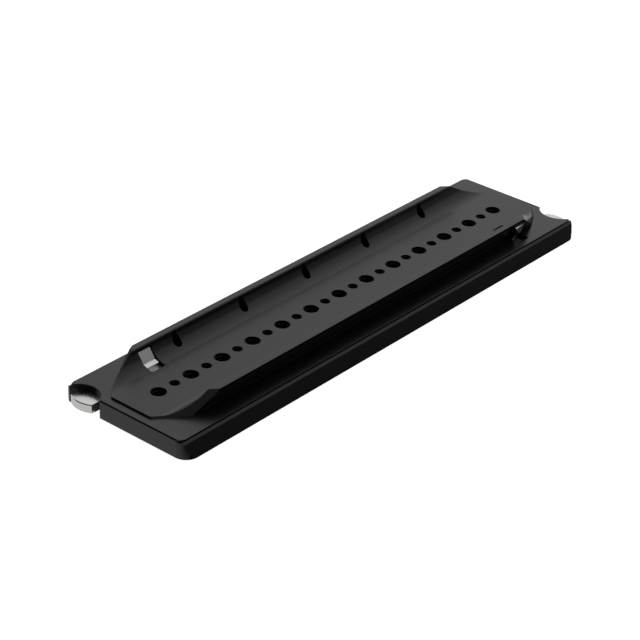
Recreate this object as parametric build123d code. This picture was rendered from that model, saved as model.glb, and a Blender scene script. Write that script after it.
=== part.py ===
from build123d import *
import os
from math import atan2, degrees, hypot

# Camera dovetail plate with a sprung safety stop at each end.
# The frame has +X along the plate, +Y across it to the rear and +Z up. The origin is the
# centre of the underside. The right end is the left end turned half round about Z.
# All sizes are in millimetres.

# Base plate
plate_length = 304.8
base_width = 80.0
base_height = 9.5
step_height = 8.5
land_width = 71.88
band_width = 1.16
band_height = 0.94
corner_radius = 7.0
land_corner_radius = 4.0
end_chamfer = 0.6

# Raised dovetail with a trough in its top
ridge_length = 294.6
ridge_height = 19.0
neck_width = 49.0
ridge_width = 56.2
ridge_land = 1.45
floor_height = 10.4
wall_width = 48.6
trough_radius = 9.5
rim_chamfer = 0.5

# Lead-in at each corner of the dovetail: two faces that meet in a line from knee to tip
lead_start = 13.2
lead_knee = (140.8, 19.0)
lead_foot = 131.8
lead_tip = 120.0

# Threaded rows on the centre line, and plain holes at the foot of each wall
hole_pitch = 21.55
large_count = 13
large_radius = 4.0
small_radius = 2.6
wall_hole_radius = 2.4
wall_hole_row = 22.0
wall_hole_spacing = 47.0
wall_hole_count = 5

# Finger notch at each end
notch_radius = 11.0
notch_x = -156.7
notch_y = 25.2

# Running gaps
side_gap = 0.3
slide_gap = 0.2
pin_gap = 0.05
press = 0.005

# Cover plate and its screws
cover_thickness = 1.3
cover_x = [-144.4, -100.4]
cover_y = [8.0, 37.4]
cover_corner = 3.0
cover_gap = 0.1
screw_radius = 1.0
screw_head_radius = 1.95
screw_length = 5.0
screw_sink = 0.1
screw_x = [-141.0, -103.5]
screw_y = [12.0, 35.2]
socket_across = 1.3
socket_depth = 0.6

# Push button with its tongue
press_travel = 3.3
button_x = [-155.9, -140.0]
button_y = [18.8, 32.4]
button_bottom = 1.45
button_top = 6.1
button_crown = 2.0
button_chamfer = 0.35
tongue_top = 3.55
tongue_y = 25.4
tongue_end = [-123.7, -110.5]

# Stop block
stop_travel = 3.3
stop_bottom = 3.75
stop_foot_top = 6.5
stop_toe_top = 8.6
stop_top = 16.6
stop_x = [-118.3, -109.9]
stop_y = [15.0, 27.5]
nub_width = 7.7
nub_y = [18.0, 30.0]
nub_face = [(18.0, 10.7), (20.1, 11.5), (20.3, 11.25), (20.75, 11.65), (20.6, 11.9), (24.0, 16.6)]
nub_ramp = 0.94
nub_tip = (28.26, 16.68)
nub_waist = (26.79, 11.08)
nub_heel = (24.51, 6.91)
nub_chamfer = (28.4, 16.6)

# Cam pin that joins the stop to the button
cam_pin_radius = 1.5
cam_pin_place = [-114.5, 25.0]
cam_pin_z = [1.6, 6.1]

# Return spring on its guide pin
spring_y = 28.4
spring_z = 3.75
spring_x = [-147.5, -128.3]
spring_radius = 1.25
spring_wire = 0.25
spring_turns = 12
guide_pin_radius = 0.8
guide_pin_x = [-142.0, -125.3]
rib_end = -123.75

# Slot that the stop moves in
slot_x = [-118.6, -109.6]
slot_front = 14.2
slot_rear = 27.8
slot_top = 17.2
slot_corner = 1.0
relief_place = [-115.9, 29.7]
relief_radius = 2.7
pocket_front = 11.3
pocket_top = 8.9

# Sizes that follow from the ones above
half_length = plate_length / 2
land_low = ridge_height - ridge_land
trough_rise = ridge_height - rim_chamfer - floor_height
trough_centre = wall_width / 2 - (trough_radius ** 2 - (trough_radius - trough_rise) ** 2) ** 0.5
button_middle = sum(button_y) / 2
button_half = (button_y[1] - button_y[0]) / 2
button_radius = (button_half ** 2 + button_crown ** 2) / (2 * button_crown)
channel_y = [button_y[0] - side_gap, button_y[1] + side_gap]
channel_top = tongue_top + slide_gap
channel_end = tongue_end[1] + press_travel + side_gap
spring_clear = spring_radius + spring_wire + side_gap
above = ridge_height + 1.0
below = -1.0


def block(x, y, z):
    """A box from its low and high value on each axis."""
    size = [high - low for low, high in (x, y, z)]
    middle = [(high + low) / 2 for low, high in (x, y, z)]
    return Pos(*middle) * Box(*size)


def rod(place, z, radius):
    """An upright round bar."""
    return Pos(place[0], place[1], sum(z) / 2) * Cylinder(radius, z[1] - z[0])


def level_rod(x, y, z, radius):
    """A round bar along X."""
    return Pos(sum(x) / 2, y, z) * Rot(0, 90, 0) * Cylinder(radius, x[1] - x[0])


def plate_prism(x, y, z, radius):
    """An upright prism with rounded corners."""
    middle = Pos((x[0] + x[1]) / 2, (y[0] + y[1]) / 2, z[0])
    return extrude(middle * RectangleRounded(x[1] - x[0], y[1] - y[0], radius), z[1] - z[0])


def bar(points, length):
    """A bar along X whose outline is the given half and its mirror image."""
    outline = points + [(-y, z) for y, z in reversed(points)]
    face = Plane.YZ * make_face(Polyline(*outline, close=True))
    return Pos(-length / 2, 0, 0) * extrude(face, length)


def beyond(points, inside, size=200.0):
    """A large block on the outer side of the plane through three points."""
    first, second, third = [Vector(*point) for point in points]
    normal = (second - first).cross(third - first)
    if normal.dot(Vector(*inside) - first) > 0:
        normal = normal * -1
    side = Plane(origin=first, z_dir=normal)
    return side * Box(size, size, size, align=(Align.CENTER, Align.CENTER, Align.MIN))


def base_plate():
    """Base with sloping sides, a chamfered band and a thin raised land."""
    half_land = land_width / 2
    band_foot = (half_land + band_width, step_height - band_height)
    lower = bar([(base_width / 2, 0), band_foot, (half_land, step_height)], plate_length)
    ends = [-half_length, half_length]
    lower &= plate_prism(ends, [-base_width / 2, base_width / 2], [below, above], corner_radius)
    land = plate_prism(ends, [-half_land, half_land], [step_height, base_height], land_corner_radius)
    body = lower + land
    for side in (-1, 1):
        edge = Pos(side * half_length, 0, base_height) * Rot(0, 45, 0)
        body -= edge * Box(end_chamfer * 2 ** 0.5, base_width, end_chamfer * 2 ** 0.5)
    return body


def trough_cut():
    """Trough with rounded sides and a chamfered rim."""
    length = [-half_length, half_length]
    wall = wall_width / 2
    cut = block(length, [-trough_centre, trough_centre], [floor_height, above])
    for side in (-1, 1):
        cut += level_rod(length, side * trough_centre, floor_height + trough_radius, trough_radius)
    cut &= block(length, [-wall, wall], [floor_height, above])
    lip = [(wall, ridge_height - rim_chamfer), (wall + rim_chamfer, ridge_height)]
    lip += [(wall + rim_chamfer, above)]
    return cut + bar(lip, plate_length)


def ridge():
    """Dovetail ridge with undercut flanks, cut away at its corners."""
    half = ridge_width / 2
    section = [(neck_width / 2, base_height), (half, land_low), (half, ridge_height)]
    body = bar(section, ridge_length) - trough_cut()
    start = (ridge_length / 2, lead_start, base_height)
    knee = (*lead_knee, base_height)
    foot = (lead_foot, neck_width / 2, base_height)
    tip = (lead_tip, half, land_low)
    for side_x in (-1, 1):
        for side_y in (-1, 1):
            for face in ((start, knee, tip), (knee, foot, tip)):
                points = [(side_x * x, side_y * y, z) for x, y, z in face]
                body -= beyond(points, (0, 0, 0))
    return body


def slot_cut():
    """Slot through the dovetail wall, with a round relief outside, and the pocket below the floor."""
    middle = (slot_front + slot_rear) / 2
    cut = plate_prism(slot_x, [slot_front, slot_rear], [below, slot_top], slot_corner)
    cut += block(slot_x, [middle, slot_rear], [below, slot_top])
    cut += block(slot_x, [middle, base_width / 2], [base_height, slot_top])
    cut += rod(relief_place, [below, slot_top], relief_radius)
    return cut + block(slot_x, [pocket_front, slot_rear], [below, pocket_top])


def end_cut():
    """Everything cut from the plate at its left end."""
    cut = rod([notch_x, notch_y], [below, above], notch_radius)
    head_end = button_x[1] + press_travel + side_gap
    cut += block([-half_length, head_end], channel_y, [below, button_top + side_gap])
    cut += block([cover_x[0], channel_end], channel_y, [below, channel_top])
    rib = [spring_x[1], rib_end]
    cut -= block(rib, [tongue_y + side_gap, channel_y[1]], [cover_thickness, channel_top])
    spring_room = [spring_y - spring_clear, spring_y + spring_clear]
    spring_roof = [channel_top - 1.0, spring_z + spring_clear + slide_gap]
    cut += block([head_end - 1.0, spring_x[1]], spring_room, spring_roof)
    cut += slot_cut()
    outer_x = [cover_x[0] - cover_gap, cover_x[1] + cover_gap]
    outer_y = [cover_y[0] - cover_gap, cover_y[1] + cover_gap]
    cut += plate_prism(outer_x, outer_y, [below, cover_thickness], cover_corner + cover_gap)
    cut += level_rod([spring_x[1] - 0.5, guide_pin_x[1]], spring_y, spring_z, guide_pin_radius - press)
    for x in screw_x:
        for y in screw_y:
            cut += rod([x, y], [0, screw_length + 0.6], screw_radius - press)
    return cut


def make_plate():
    """The plate, machined from one piece."""
    body = base_plate() + ridge()
    half_count = large_count // 2
    for step in range(-half_count, half_count + 1):
        body -= rod([step * hole_pitch, 0], [below, above], large_radius)
    for step in range(-half_count, half_count):
        body -= rod([(step + 0.5) * hole_pitch, 0], [below, above], small_radius)
    half_count = wall_hole_count // 2
    for step in range(-half_count, half_count + 1):
        for row in (-wall_hole_row, wall_hole_row):
            body -= rod([step * wall_hole_spacing, row], [below, above], wall_hole_radius)
    cut = end_cut()
    return body - cut - Rot(0, 0, 180) * cut


def make_button():
    """Thumb button, with a tongue that carries the slanted cam slot."""
    head = block(button_x, button_y, [button_bottom, button_top])
    head &= rod([button_x[0] + button_radius, button_middle], [below, above], button_radius)
    head = chamfer(head.edges().filter_by(GeomType.CIRCLE), button_chamfer)
    body = head + block([button_x[1], tongue_end[0]], [button_y[0], tongue_y], [button_bottom, tongue_top])
    body += block(tongue_end, button_y, [button_bottom, tongue_top])
    body -= level_rod([spring_x[0], button_x[1] + 1.0], spring_y, spring_z, spring_clear)
    run = hypot(press_travel, stop_travel)
    width = 2 * (cam_pin_radius + pin_gap)
    middle = Pos(cam_pin_place[0] - press_travel / 2, cam_pin_place[1] - stop_travel / 2, below)
    slant = Rot(0, 0, degrees(atan2(stop_travel, press_travel)))
    return body - extrude(middle * slant * SlotCenterToCenter(run, width), button_top)


def make_nub():
    """Upper part of the stop: facets towards the trough, a ramp on the outer side."""
    near = stop_x[0]
    far = near + nub_width
    outline = [(nub_y[0], stop_foot_top)] + nub_face + [(nub_y[1], stop_top), (nub_y[1], stop_foot_top)]
    side = Plane.YZ * make_face(Polyline(*outline, close=True))
    body = Pos(near, 0, 0) * extrude(side, nub_width)
    inside = (near, nub_y[0], stop_foot_top)
    for upper, lower in ((nub_tip, nub_waist), (nub_waist, nub_heel)):
        body -= beyond([(near, *upper), (near, *lower), (far, upper[0] + nub_ramp, upper[1])], inside)
    outer = (nub_chamfer[0] + 1, nub_chamfer[1] - 1)
    return body - beyond([(near, *nub_chamfer), (near, *outer), (far, *nub_chamfer)], inside)


def make_stop():
    """Stop block: a foot in the slot below, and a nub that fills the undercut."""
    body = block(stop_x, stop_y, [stop_bottom, stop_foot_top])
    body += block(stop_x, [stop_y[0], nub_y[0] + 1], [stop_foot_top, stop_toe_top])
    body += make_nub()
    return body - rod(cam_pin_place, [below, cam_pin_z[1]], cam_pin_radius - press)


def make_spring():
    """Coil spring along X."""
    length = spring_x[1] - spring_x[0] - 2 * spring_wire - 0.1
    coil = Helix(length / spring_turns, length, spring_radius)
    wire = sweep(Plane(origin=coil @ 0, z_dir=coil % 0) * Circle(spring_wire), path=coil)
    return Pos(spring_x[0] + spring_wire + 0.05, spring_y, spring_z) * Rot(0, 90, 0) * wire


def make_cover():
    """Cover plate with countersunk holes."""
    body = plate_prism(cover_x, cover_y, [0, cover_thickness], cover_corner)
    depth = screw_head_radius - screw_radius
    for x in screw_x:
        for y in screw_y:
            body -= rod([x, y], [below, above], screw_radius + cover_gap)
            sink = Cone(screw_head_radius + 0.03, screw_radius + 0.03, depth)
            body -= Pos(x, y, screw_sink + depth / 2) * sink
            body -= rod([x, y], [below, screw_sink], screw_head_radius + 0.03)
    return body


def make_screw(x, y):
    """Countersunk screw with a hexagon socket."""
    depth = screw_head_radius - screw_radius
    body = Pos(x, y, screw_sink + depth / 2) * Cone(screw_head_radius, screw_radius, depth)
    body += rod([x, y], [screw_sink + depth, screw_length], screw_radius)
    socket = RegularPolygon(socket_across / 2, 6, major_radius=False)
    return body - extrude(Pos(x, y, below) * socket, socket_depth + screw_sink - below)


end_pieces = {
    "push_button": make_button(),
    "stop_block": make_stop(),
    "cam_pin": rod(cam_pin_place, cam_pin_z, cam_pin_radius),
    "return_spring": make_spring(),
    "spring_guide_pin": level_rod(guide_pin_x, spring_y, spring_z, guide_pin_radius),
    "cover_plate": make_cover(),
}
places = [(x, y) for x in screw_x for y in screw_y]
for number, place in enumerate(places, start=1):
    end_pieces[f"cover_screw_{number}"] = make_screw(*place)

pieces = {"dovetail_plate": make_plate()}
for side, turn in (("left", 0), ("right", 180)):
    for name, piece in end_pieces.items():
        pieces[f"{side}_{name}"] = Rot(0, 0, turn) * piece

os.makedirs("parts", exist_ok=True)
for name, piece in pieces.items():
    export_step(piece, f"parts/{name}.step")
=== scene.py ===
# %% [markdown]
# # A camera dovetail plate
# The solids of the plate, its buttons and its stops come from the frame. This script
# gives them their finishes, adds threads to the holes and copies of the springs, and sets
# the light and the camera so that the picture matches the photograph.

import bpy
from mathutils import Matrix, Vector


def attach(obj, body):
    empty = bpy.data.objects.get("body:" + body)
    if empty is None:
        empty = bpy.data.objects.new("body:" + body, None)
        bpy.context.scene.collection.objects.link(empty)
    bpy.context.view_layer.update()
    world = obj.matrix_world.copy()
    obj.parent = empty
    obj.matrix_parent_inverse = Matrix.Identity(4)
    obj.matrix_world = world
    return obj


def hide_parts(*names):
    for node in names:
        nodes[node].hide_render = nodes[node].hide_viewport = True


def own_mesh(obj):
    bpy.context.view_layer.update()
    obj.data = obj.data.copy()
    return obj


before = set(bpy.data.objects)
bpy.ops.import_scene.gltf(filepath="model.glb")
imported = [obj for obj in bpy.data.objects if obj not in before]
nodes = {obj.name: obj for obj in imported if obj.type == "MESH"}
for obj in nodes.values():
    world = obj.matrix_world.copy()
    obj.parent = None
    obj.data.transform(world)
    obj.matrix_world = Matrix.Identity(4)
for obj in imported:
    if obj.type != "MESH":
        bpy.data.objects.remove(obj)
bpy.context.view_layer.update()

# %% [markdown]
# ## Finishes
# A finish is a tree of shader nodes. Small helpers keep all the trees short: one makes a
# material, one adds a node and sets its inputs, one joins two sockets, one does a sum,
# and one maps a range of values to another. The patterns read Object coordinates, so
# they stay on the piece when it moves.


# %% Helpers for node trees
def new_material(name, color, metallic, roughness):
    material = bpy.data.materials.new(name)
    material.use_nodes = True
    tree = material.node_tree
    shader = tree.nodes["Principled BSDF"]
    shader.inputs["Base Color"].default_value = (*color, 1)
    shader.inputs["Metallic"].default_value = metallic
    shader.inputs["Roughness"].default_value = roughness
    return material, tree, shader


def add(tree, kind, x, y, **inputs):
    node = tree.nodes.new(kind)
    node.location = (x, y)
    for key, value in inputs.items():
        node.inputs[key].default_value = value
    return node


def join(tree, source, node, key):
    tree.links.new(source, node.inputs[key])


def calculate(tree, operation, values, x, y):
    """A Math node whose inputs are numbers or the outputs of other nodes."""
    node = add(tree, "ShaderNodeMath", x, y)
    node.operation = operation
    for number, value in enumerate(values):
        if isinstance(value, float):
            node.inputs[number].default_value = value
        else:
            join(tree, value, node, number)
    return node.outputs[0]


def map_range(tree, source, given, wanted, x, y):
    """A Map Range node from the given low and high value to the wanted ones."""
    node = add(tree, "ShaderNodeMapRange", x, y)
    for word, values in (("From", given), ("To", wanted)):
        node.inputs[word + " Min"].default_value = values[0]
        node.inputs[word + " Max"].default_value = values[1]
    join(tree, source, node, "Value")
    return node


# %% [markdown]
# ### Black anodised aluminium
# Anodising leaves a deep black with a satin sheen: nearly no colour of its own, and
# soft reflections of the room. A fine noise varies the roughness a little, as bead
# blasting does, and the Bevel node rounds the shading of the machined edges, which on
# a real plate catch a thin line of light.


# %% Anodised finish
noise_range = (0.3, 0.7)


def anodised_finish(name, edge):
    material, tree, shader = new_material(name, (0.002, 0.002, 0.0021), 0.0, 0.3)
    shader.inputs["IOR"].default_value = 1.5
    place = add(tree, "ShaderNodeTexCoord", -1000, 0)
    blast = add(tree, "ShaderNodeTexNoise", -800, 0, Scale=2500.0, Detail=2.0)
    join(tree, place.outputs["Object"], blast, "Vector")
    rough = map_range(tree, blast.outputs["Fac"], noise_range, (0.27, 0.33), -500, 0)
    join(tree, rough.outputs["Result"], shader, "Roughness")
    rounded = add(tree, "ShaderNodeBevel", -500, -300, Radius=edge)
    rounded.samples = 6
    join(tree, rounded.outputs["Normal"], shader, "Normal")
    return material


anodised = anodised_finish("satin_anodised", 0.00024)
print("finish", anodised.name)

# %% [markdown]
# ### Bare aluminium
# The buttons and the stops are bright metal with fine brush marks. The marks are noise
# that is stretched far along one direction, so that it turns into lines. It varies the
# roughness and gives a shallow bump.


# %% Brushed finish
def brushed_finish(name, color, roughness, stretch):
    material, tree, shader = new_material(name, color, 1.0, roughness)
    place = add(tree, "ShaderNodeTexCoord", -1200, 0)
    turn = add(tree, "ShaderNodeMapping", -1000, 0, Scale=stretch)
    marks = add(tree, "ShaderNodeTexNoise", -800, 0, Scale=1.0, Detail=3.0)
    join(tree, place.outputs["Object"], turn, "Vector")
    join(tree, turn.outputs["Vector"], marks, "Vector")
    wanted = (roughness - 0.06, roughness + 0.08)
    rough = map_range(tree, marks.outputs["Fac"], noise_range, wanted, -500, 0)
    join(tree, rough.outputs["Result"], shader, "Roughness")
    bump = add(tree, "ShaderNodeBump", -300, -300, Strength=0.12, Distance=0.00002)
    rounded = add(tree, "ShaderNodeBevel", -500, -400, Radius=0.00015)
    rounded.samples = 6
    join(tree, marks.outputs["Fac"], bump, "Height")
    join(tree, rounded.outputs["Normal"], bump, "Normal")
    join(tree, bump.outputs["Normal"], shader, "Normal")
    return material


stop_metal = brushed_finish("brushed_stop", (0.72, 0.72, 0.72), 0.30, (2200, 90, 90))
button_metal = brushed_finish("brushed_button", (0.70, 0.695, 0.69), 0.22, (90, 1600, 1600))
print("finishes", stop_metal.name, button_metal.name)

# %% [markdown]
# ### Steel and blackened screws
# The hidden pieces keep plain finishes: ground steel for the pins and the spring, and
# black oxide for the cover screws.

# %% Steel and black oxide
steel = new_material("ground_steel", (0.62, 0.62, 0.63), 1.0, 0.3)[0]
screw_black = new_material("black_oxide", (0.02, 0.02, 0.02), 0.0, 0.35)[0]
print("finishes", steel.name, screw_black.name)

# %% [markdown]
# ### Which piece has which finish
# The CAD pieces keep their shapes and only get a material. A table from kind of piece to
# finish treats both ends of the plate alike.

# %% Give every node its finish
finish = {
    "push_button": button_metal,
    "stop_block": stop_metal,
    "cam_pin": steel,
    "return_spring": steel,
    "spring_guide_pin": steel,
    "cover_plate": anodised,
}
for name, node in nodes.items():
    kind = name.split("_", 1)[1]
    material = screw_black if "screw" in name else finish.get(kind, anodised)
    node.data.materials.clear()
    node.data.materials.append(material)
print("finishes set on", len(nodes), "nodes")

# %% [markdown]
# ## Threads
# The holes on the middle line are tapped, and their threads catch the light. A thread
# is a ridge that winds up the wall of its hole, so it follows a rule, and Geometry
# Nodes are the natural way: a spiral carries a small three-sided profile, and a line of
# points repeats it at the hole pitch. The sizes are inputs of the tree. The profile's
# size, how far it sits inside the wall and the space left at the hole's ends are shares
# of the thread's pitch.

# %% Sizes of the threaded holes
floor_height = 0.0104
hole_pitch = 0.02155
inch = 0.0254
tooth_share = 0.28
inset_share = 0.07
margin_share = 0.8
threads = {
    "large_threads": {"Radius": 0.0040, "Pitch": inch / 16, "Count": 13},
    "small_threads": {"Radius": 0.0026, "Pitch": inch / 20, "Count": 12},
}


# %% Tree for a row of threads
def thread_tree():
    tree = bpy.data.node_groups.new("thread_row", "GeometryNodeTree")
    face = tree.interface
    face.new_socket("Geometry", in_out="INPUT", socket_type="NodeSocketGeometry")
    for name in ("Radius", "Pitch", "Height", "Spacing"):
        face.new_socket(name, in_out="INPUT", socket_type="NodeSocketFloat")
    face.new_socket("Count", in_out="INPUT", socket_type="NodeSocketInt")
    face.new_socket("Finish", in_out="INPUT", socket_type="NodeSocketMaterial")
    face.new_socket("Geometry", in_out="OUTPUT", socket_type="NodeSocketGeometry")
    given = add(tree, "NodeGroupInput", -1400, 0).outputs

    def math_node(operation, first, second, x, y):
        return calculate(tree, operation, (first, second), x, y)

    tooth = math_node("MULTIPLY", given["Pitch"], tooth_share, -1200, -200)
    inset = math_node("MULTIPLY", given["Pitch"], inset_share, -1200, -350)
    axis_radius = math_node("SUBTRACT", given["Radius"], inset, -1000, -350)
    margin = math_node("MULTIPLY", given["Pitch"], margin_share, -1200, 200)
    rise = math_node("SUBTRACT", given["Height"], margin, -1000, 200)
    turns = math_node("DIVIDE", rise, given["Pitch"], -800, 200)

    spiral = add(tree, "GeometryNodeCurveSpiral", -600, 200, Resolution=28)
    join(tree, turns, spiral, "Rotations")
    join(tree, axis_radius, spiral, "Start Radius")
    join(tree, axis_radius, spiral, "End Radius")
    join(tree, rise, spiral, "Height")
    upright = add(tree, "GeometryNodeSetCurveNormal", -400, 200)
    upright.mode = "Z_UP"
    join(tree, spiral.outputs["Curve"], upright, "Curve")

    profile = add(tree, "GeometryNodeCurvePrimitiveCircle", -600, -100, Resolution=3)
    join(tree, tooth, profile, "Radius")
    ridge = add(tree, "GeometryNodeCurveToMesh", -200, 100)
    ridge.inputs["Fill Caps"].default_value = True
    join(tree, upright.outputs["Curve"], ridge, "Curve")
    join(tree, profile.outputs["Curve"], ridge, "Profile Curve")

    step = add(tree, "ShaderNodeCombineXYZ", -400, -500)
    join(tree, given["Spacing"], step, "X")
    less = math_node("SUBTRACT", given["Count"], 1.0, -1000, -600)
    span = math_node("MULTIPLY", less, given["Spacing"], -800, -600)
    half = math_node("MULTIPLY", span, -0.5, -600, -600)
    start = add(tree, "ShaderNodeCombineXYZ", -400, -650)
    join(tree, half, start, "X")
    lift = math_node("MULTIPLY", margin, 0.5, -600, -750)
    join(tree, lift, start, "Z")
    row = add(tree, "GeometryNodeMeshLine", -200, -500)
    join(tree, given["Count"], row, "Count")
    join(tree, start.outputs["Vector"], row, "Start Location")
    join(tree, step.outputs["Vector"], row, "Offset")

    spread = add(tree, "GeometryNodeInstanceOnPoints", 0, 0)
    join(tree, row.outputs["Mesh"], spread, "Points")
    join(tree, ridge.outputs["Mesh"], spread, "Instance")
    real = add(tree, "GeometryNodeRealizeInstances", 200, 0)
    join(tree, spread.outputs["Instances"], real, "Geometry")
    painted = add(tree, "GeometryNodeSetMaterial", 400, 0)
    join(tree, real.outputs["Geometry"], painted, "Geometry")
    join(tree, given["Finish"], painted, "Material")
    result = add(tree, "NodeGroupOutput", 600, 0)
    join(tree, painted.outputs["Geometry"], result, "Geometry")
    return tree


thread_row = thread_tree()
print("tree", thread_row.name, "nodes", len(thread_row.nodes))


# %% Build one row as a plain mesh
def build_with_nodes(name, tree, values):
    """Run a Geometry Nodes tree on an empty mesh and keep the result as a mesh."""
    source = bpy.data.objects.new(name, bpy.data.meshes.new(name + "_source"))
    bpy.context.scene.collection.objects.link(source)
    modifier = source.modifiers.new("nodes", "NODES")
    modifier.node_group = tree
    for item in tree.interface.items_tree:
        if item.item_type == "SOCKET" and item.in_out == "INPUT" and item.name in values:
            modifier[item.identifier] = values[item.name]
    graph = bpy.context.evaluated_depsgraph_get()
    mesh = bpy.data.meshes.new_from_object(source.evaluated_get(graph))
    source.modifiers.remove(modifier)
    source.data = mesh
    mesh.name = name
    print(name, "faces", len(mesh.polygons))
    return source


for name, values in threads.items():
    values.update({"Height": floor_height, "Spacing": hole_pitch, "Finish": anodised})
    piece = build_with_nodes(name, thread_row, values)
    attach(piece, "plate")

# %% [markdown]
# ## Return springs
# A coil of steel wire behind each button shortens when the button goes in. The solid in
# the frame keeps its length. A copy of its mesh stands for it and is attached to the
# plate; the copy is not squeezed, so it keeps the same length.

# %% Copies of the springs
for side, fixed_end in (("left", -0.1283), ("right", 0.1283)):
    coil_mesh = nodes[f"{side}_return_spring"].data.copy()
    coil = bpy.data.objects.new(f"{side}_spring_coil", coil_mesh)
    bpy.context.scene.collection.objects.link(coil)
    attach(coil, "plate")
    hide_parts(f"{side}_return_spring")
    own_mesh(coil)

# %% [markdown]
# ## Floor
# The photograph has a plain white ground. The floor is white to the camera and keeps a
# faint shadow. Light Path tells the rays apart. To the mirror-like surfaces that look down
# at it, the floor glows with a painted reflection: white beyond the plate's ends, painted
# shade across the plate's length and, beyond the ends, in front of the long side, and
# painted light that makes it a little brighter towards the right. From below it is clear,
# so it hides nothing.

# %% Sizes and levels of the floor
floor_drop = 0.0001
white_level = 0.9
# Levels of the painted reflection in the floor: painted shade in front of the long side,
# painted light towards the right, painted shade across the plate's length.
painted_front_shade_y, painted_front_shade_level = (-0.045, -0.036), (0.04, 1.0)
painted_right_light_x, painted_right_light_level = (-0.10, 0.12), (0.68, 1.0)
painted_shade_half_length = 0.150

# %% What mirrors see of the floor
bpy.ops.mesh.primitive_plane_add(size=8.0, location=(0, 0, -floor_drop))
floor = bpy.context.object
floor.name = "floor"
floor_material, tree, shader = new_material("floor", (0.8, 0.8, 0.8), 0.0, 0.9)
place = add(tree, "ShaderNodeTexCoord", -1000, -300)
axes = add(tree, "ShaderNodeSeparateXYZ", -800, -300)
join(tree, place.outputs["Object"], axes, 0)
# Painted reflection: the floor's glow for mirrors is darkened and brightened by place,
# standing in for the room's shade and light.
painted_front_shade = map_range(tree, axes.outputs["Y"], painted_front_shade_y, painted_front_shade_level, -600, -300)
painted_right_light = map_range(tree, axes.outputs["X"], painted_right_light_x, painted_right_light_level, -600, -600)
reach = calculate(tree, "ABSOLUTE", (axes.outputs["X"],), -600, -900)
level = calculate(tree, "GREATER_THAN", (reach, painted_shade_half_length), -400, -900)
for factor in (painted_front_shade, painted_right_light):
    level = calculate(tree, "MULTIPLY", (level, factor.outputs["Result"]), -200, -400)
# This emission, seen only by mirrors, carries the painted shade and painted light of the
# floor.
painted_reflection = add(tree, "ShaderNodeEmission", -200, -200, Color=(1, 1, 1, 1))
join(tree, level, painted_reflection, "Strength")


# %% Choose by the kind of ray
def choose(tree, factor, first, second, x, y):
    """Mix two shaders: the first where the factor is 0, the second where it is 1."""
    node = add(tree, "ShaderNodeMixShader", x, y)
    for number, source in enumerate((factor, first, second)):
        join(tree, source, node, number)
    return node.outputs[0]


path = add(tree, "ShaderNodeLightPath", -600, 300).outputs
white = add(tree, "ShaderNodeEmission", -200, 200, Color=(1, 1, 1, 1), Strength=white_level)
seen = add(tree, "ShaderNodeAddShader", 0, 150)
join(tree, shader.outputs[0], seen, 0)
join(tree, white.outputs[0], seen, 1)
side = add(tree, "ShaderNodeNewGeometry", 400, 500)
clear = add(tree, "ShaderNodeBsdfTransparent", 400, 0)
# Mirrors see the painted reflection instead of the floor's diffuse shading.
look = choose(tree, path["Is Glossy Ray"], shader.outputs[0], painted_reflection.outputs[0], 200, 0)
look = choose(tree, path["Is Camera Ray"], look, seen.outputs[0], 400, 200)
look = choose(tree, side.outputs["Backfacing"], look, clear.outputs[0], 600, 200)
join(tree, look, tree.nodes["Material Output"], "Surface")
floor.data.materials.append(floor_material)
print("floor levels", painted_front_shade_level, painted_right_light_level)

# %% [markdown]
# ## World
# A product like this is lit by large soft boxes in a dark room. Lamps could do it, but
# here each box is a smooth spot on the world, found by the angle between a ray and the
# spot's direction, so the reflections stay soft. The first three light what faces up,
# the fourth comes low from the rear, the next three light the front, and the last one
# lights the threads from above. The numbers under edge and middle are cosines.

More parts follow.
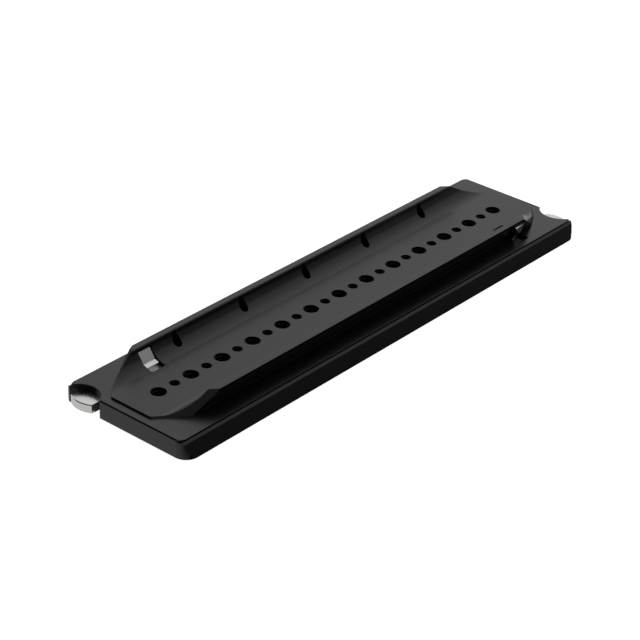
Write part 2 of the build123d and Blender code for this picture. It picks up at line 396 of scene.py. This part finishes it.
# %% World
room_level = 0.012
soft_boxes = [
    {"towards": (0.67, 0.55, 0.49), "edge": 0.77, "middle": 0.98, "level": 0.82},
    {"towards": (0.67, 0.08, 0.73), "edge": 0.86, "middle": 0.98, "level": 0.74},
    {"towards": (0.67, -0.37, 0.643), "edge": 0.90, "middle": 0.99, "level": 0.62},
    {"towards": (0.244, 0.945, 0.194), "edge": 0.60, "middle": 0.98, "level": 0.75},
    {"towards": (0.67, -0.74, 0.02), "edge": 0.88, "middle": 0.98, "level": 0.24},
    {"towards": (-0.25, -0.94, 0.20), "edge": 0.88, "middle": 0.98, "level": 0.26},
    {"towards": (-0.29, -0.68, 0.67), "edge": 0.93, "middle": 0.99, "level": 0.32},
    {"towards": (0.0, 0.0, 1.0), "edge": 0.90, "middle": 0.98, "level": 1.0},
]
world = bpy.data.worlds.new("studio")
bpy.context.scene.world = world
world.use_nodes = True
tree = world.node_tree
back = tree.nodes["Background"]
path = add(tree, "ShaderNodeLightPath", -900, 500)
coordinate = add(tree, "ShaderNodeTexCoord", -1500, 0)
total = 0.0
for number, box in enumerate(soft_boxes):
    dot = add(tree, "ShaderNodeVectorMath", -1200, -300 * number)
    dot.operation = "DOT_PRODUCT"
    dot.inputs[1].default_value = Vector(box["towards"]).normalized()
    join(tree, coordinate.outputs["Generated"], dot, 0)
    given, wanted = (box["edge"], box["middle"]), (0.0, box["level"])
    spot = map_range(tree, dot.outputs["Value"], given, wanted, -1000, -300 * number)
    spot.interpolation_type = "SMOOTHSTEP"
    values = (total, spot.outputs["Result"])
    total = calculate(tree, "MAXIMUM", values, -700, -300 * number)
lit = calculate(tree, "ADD", (total, room_level), -500, 0)
strength = calculate(tree, "MAXIMUM", (lit, path.outputs["Is Camera Ray"]), -300, 0)
join(tree, strength, back, "Strength")
back.inputs["Color"].default_value = (1, 1, 1, 1)
print("soft boxes", len(soft_boxes))

# %% [markdown]
# ## Camera
# The camera's place and turn were fitted to the plate's corners and holes in the
# photograph. It has a long lens, so the plate's far end is only a little smaller.

# %% Camera
camera_place = (-0.73365, -0.59142, 0.53112)
camera_right = (0.6490, -0.7600, 0.0329)
camera_forward = (0.6714, 0.5519, -0.4947)
data = bpy.data.cameras.new("camera")
data.lens = 120.9
data.sensor_width = 36.0
data.clip_start = 0.01
camera = bpy.data.objects.new("camera", data)
bpy.context.scene.collection.objects.link(camera)
right = Vector(camera_right).normalized()
forward = Vector(camera_forward)
forward = (forward - right * forward.dot(right)).normalized()
up = right.cross(forward)
turn = Matrix((right, up, -forward)).transposed()
camera.matrix_world = Matrix.Translation(camera_place) @ turn.to_4x4()
bpy.context.scene.camera = camera
bpy.context.scene.view_settings.view_transform = "Standard"
print("camera", camera_place)
